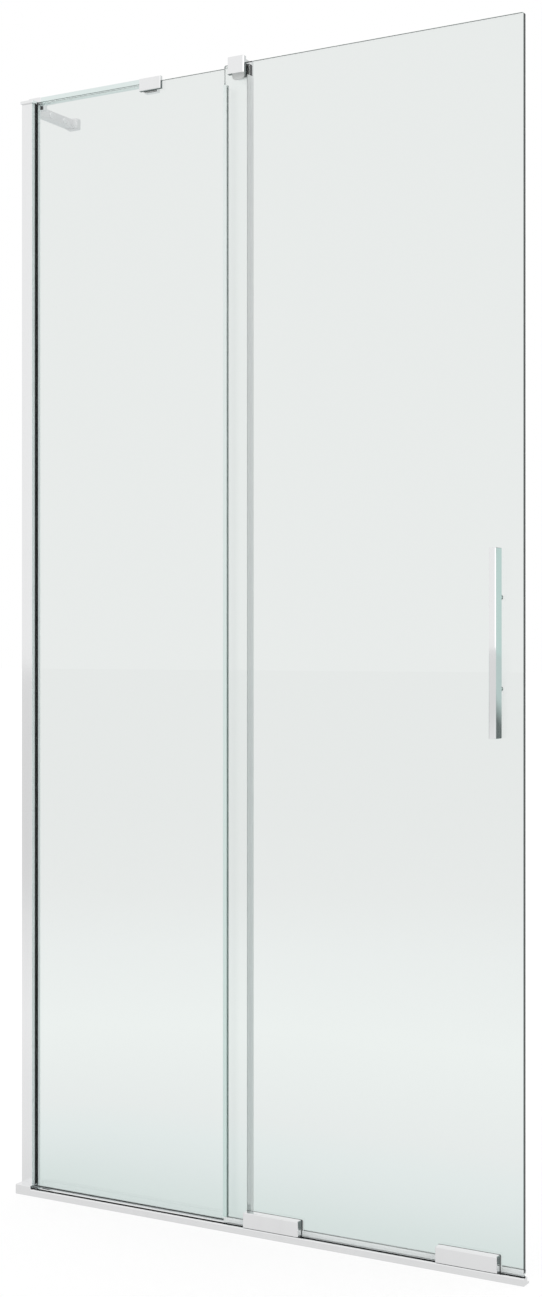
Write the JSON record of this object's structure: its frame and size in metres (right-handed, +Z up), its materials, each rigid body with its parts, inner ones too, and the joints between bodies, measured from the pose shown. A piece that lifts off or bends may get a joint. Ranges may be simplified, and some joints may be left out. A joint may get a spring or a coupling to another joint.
{
  "type": "walk-in shower screen",
  "caption": "Walk-in shower screen: a fixed clear glass panel on a chrome wall profile, and a glass door with a bar handle that rolls on a low bottom track.",
  "frame": {"origin": "on the wall face, at tray level, in the middle of the fixed panel's glass thickness", "axes": "+X along the screen away from the wall, +Y into the shower, +Z up; the door slides along -X in front of the fixed panel, on its -Y side"},
  "size_m": [1, 0.191, 2.012],
  "materials": {
    "chrome": "polished",
    "clear_glass": "polished",
    "clear_seal": "clear, satin",
    "black_rubber": "satin",
    "mill_aluminium": "satin",
    "steel": "brushed",
    "nylon": "matte",
    "cast_body": "satin"
  },
  "bodies": {
    "screen_frame": {"arm_bar": "chrome", "arm_elbow": "chrome", "arm_elbow_screw": "steel", "arm_end_block": "chrome", "arm_screw_plugs": "chrome", "arm_wall_rail": "chrome", "base_channel": "chrome", "base_gaskets": "black_rubber", "bottom_track": "chrome", "clamp_bar_screw": "steel", "clamp_body": "chrome", "clamp_grub_screws": "steel", "clamp_pads": "black_rubber", "clamp_pressure_plate": "steel", "end_block": "chrome", "fixed_glass": "clear_glass", "fixed_glass_edge_seal": "clear_seal", "glass_profile": "chrome", "guide_body": "chrome", "guide_gliders": "nylon", "guide_grub_screws": "steel", "guide_pads": "black_rubber", "guide_pressure_plate": "steel", "profile_screw_caps": "chrome", "profile_screws": "steel", "profile_top_cap": "chrome", "setting_blocks": "black_rubber", "track_end_cap": "chrome", "track_stops": "black_rubber", "wall_channel": "mill_aluminium", "wall_gasket_front": "black_rubber", "wall_gasket_rear": "black_rubber"},
    "door": {"axles": "steel", "bearing_inner_rings": "steel", "carriage_backplate_left": "steel", "carriage_backplate_right": "steel", "carriage_body_left": "cast_body", "carriage_body_right": "cast_body", "carriage_cover_left": "chrome", "carriage_cover_right": "chrome", "carriage_pads": "black_rubber", "carriage_screws": "steel", "door_bottom_seal": "clear_seal", "door_edge_seal": "clear_seal", "door_glass": "clear_glass", "glass_bushes": "nylon", "handle_bar": "chrome", "handle_posts": "chrome", "handle_screws": "steel", "handle_washers": "nylon"},
    "wheel_body_1": {"wheel_1": "nylon", "bearing_outer_ring_1": "steel"},
    "wheel_body_2": {"wheel_2": "nylon", "bearing_outer_ring_2": "steel"},
    "wheel_body_3": {"wheel_3": "nylon", "bearing_outer_ring_3": "steel"},
    "wheel_body_4": {"wheel_4": "nylon", "bearing_outer_ring_4": "steel"}
  },
  "joints": [
    {"name": "door_slide", "type": "slide", "parent": "screen_frame", "child": "door", "axis": [-1, 0, 0], "range_m": [0, 0.4]},
    {"name": "wheel_1_spin", "type": "hinge", "parent": "door", "child": "wheel_body_1", "pos_m": [0.505, -0.0305, 0.0163], "axis": [0, 1, 0], "continuous": true},
    {"name": "wheel_2_spin", "type": "hinge", "parent": "door", "child": "wheel_body_2", "pos_m": [0.577, -0.0305, 0.0163], "axis": [0, 1, 0], "continuous": true},
    {"name": "wheel_3_spin", "type": "hinge", "parent": "door", "child": "wheel_body_3", "pos_m": [0.8645, -0.0305, 0.0163], "axis": [0, 1, 0], "continuous": true},
    {"name": "wheel_4_spin", "type": "hinge", "parent": "door", "child": "wheel_body_4", "pos_m": [0.9365, -0.0305, 0.0163], "axis": [0, 1, 0], "continuous": true}
  ],
  "couplings": [
    {"joint": "wheel_1_spin", "follows": "door_slide", "rad_per_m": -100},
    {"joint": "wheel_2_spin", "follows": "door_slide", "rad_per_m": -100},
    {"joint": "wheel_3_spin", "follows": "door_slide", "rad_per_m": -100},
    {"joint": "wheel_4_spin", "follows": "door_slide", "rad_per_m": -100}
  ]
}
